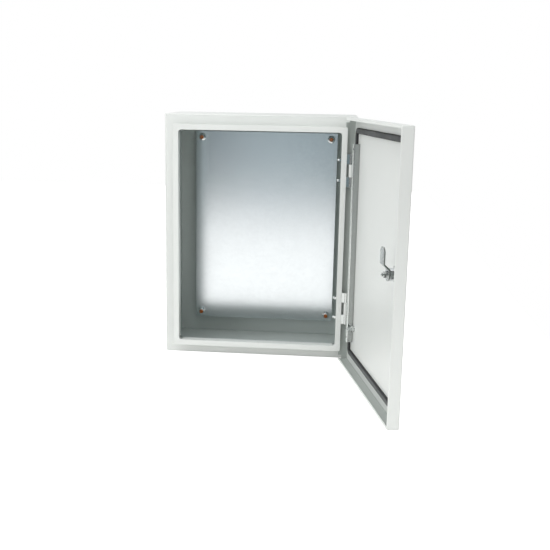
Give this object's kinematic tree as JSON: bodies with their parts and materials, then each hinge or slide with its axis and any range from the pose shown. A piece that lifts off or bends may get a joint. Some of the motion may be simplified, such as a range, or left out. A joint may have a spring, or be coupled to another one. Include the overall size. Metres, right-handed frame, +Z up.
{
  "type": "steel wall enclosure",
  "caption": "Painted steel wall enclosure with an open hinged door, foam gasket, turn lock, raised rain-channel lip and galvanised mounting plate.",
  "frame": {"origin": "centre of the wall-fixing hole pattern on the outer face of the back panel", "axes": "+X to the right seen from the front, +Z up, -Y out through the opening towards the person using it"},
  "size_m": [0.4696, 0.5631, 0.5],
  "materials": {
    "body_paint": "fine textured powder coat",
    "galvanised_steel": "hot-dip galvanised, matt grey",
    "zinc_plate": "bright zinc plate",
    "coppered_steel": "copper-flashed weld stud",
    "foam_rubber": "foamed polyurethane, dark grey",
    "chrome_plate": "bright chrome-plated zinc casting"
  },
  "bodies": {
    "cabinet": {"body_shell": "body_paint", "front_frame": "body_paint", "front_lip": "body_paint", "back_panel": "body_paint", "knockout_blanks": "body_paint", "plate_studs": "coppered_steel", "plate_spacers": "zinc_plate", "mounting_plate": "galvanised_steel", "plate_washers": "zinc_plate", "plate_nuts": "zinc_plate", "hinge_leaf_upper": "zinc_plate", "hinge_leaf_lower": "zinc_plate", "hinge_pin_upper": "zinc_plate", "hinge_pin_lower": "zinc_plate", "hinge_screws": "zinc_plate", "hinge_nuts": "zinc_plate"},
    "door": {"door_shell": "body_paint", "door_knuckle_upper": "body_paint", "door_knuckle_lower": "body_paint", "door_gasket": "foam_rubber", "door_stiffener": "galvanised_steel", "door_earth_stud": "zinc_plate", "door_earth_washers": "zinc_plate", "door_earth_nuts": "zinc_plate", "lock_housing": "chrome_plate", "lock_seal": "foam_rubber", "lock_washer": "zinc_plate", "lock_nut": "zinc_plate"},
    "lock_rotor": {"lock_spindle": "zinc_plate", "lock_cam": "zinc_plate", "lock_cam_washer": "zinc_plate", "lock_cam_bolt": "zinc_plate", "lock_cam_nut": "zinc_plate"}
  },
  "joints": [
    {"name": "door_hinge", "type": "hinge", "parent": "cabinet", "child": "door", "pos_m": [0.1845, -0.191, 0], "axis": [0, 0, 1], "range_deg": [-102.5, 7.5]},
    {"name": "lock_turn", "type": "hinge", "parent": "door", "child": "lock_rotor", "pos_m": [0.26325, -0.51155, 0.0045], "axis": [0.9763, 0.2164, 0], "range_deg": [0, 90]}
  ]
}
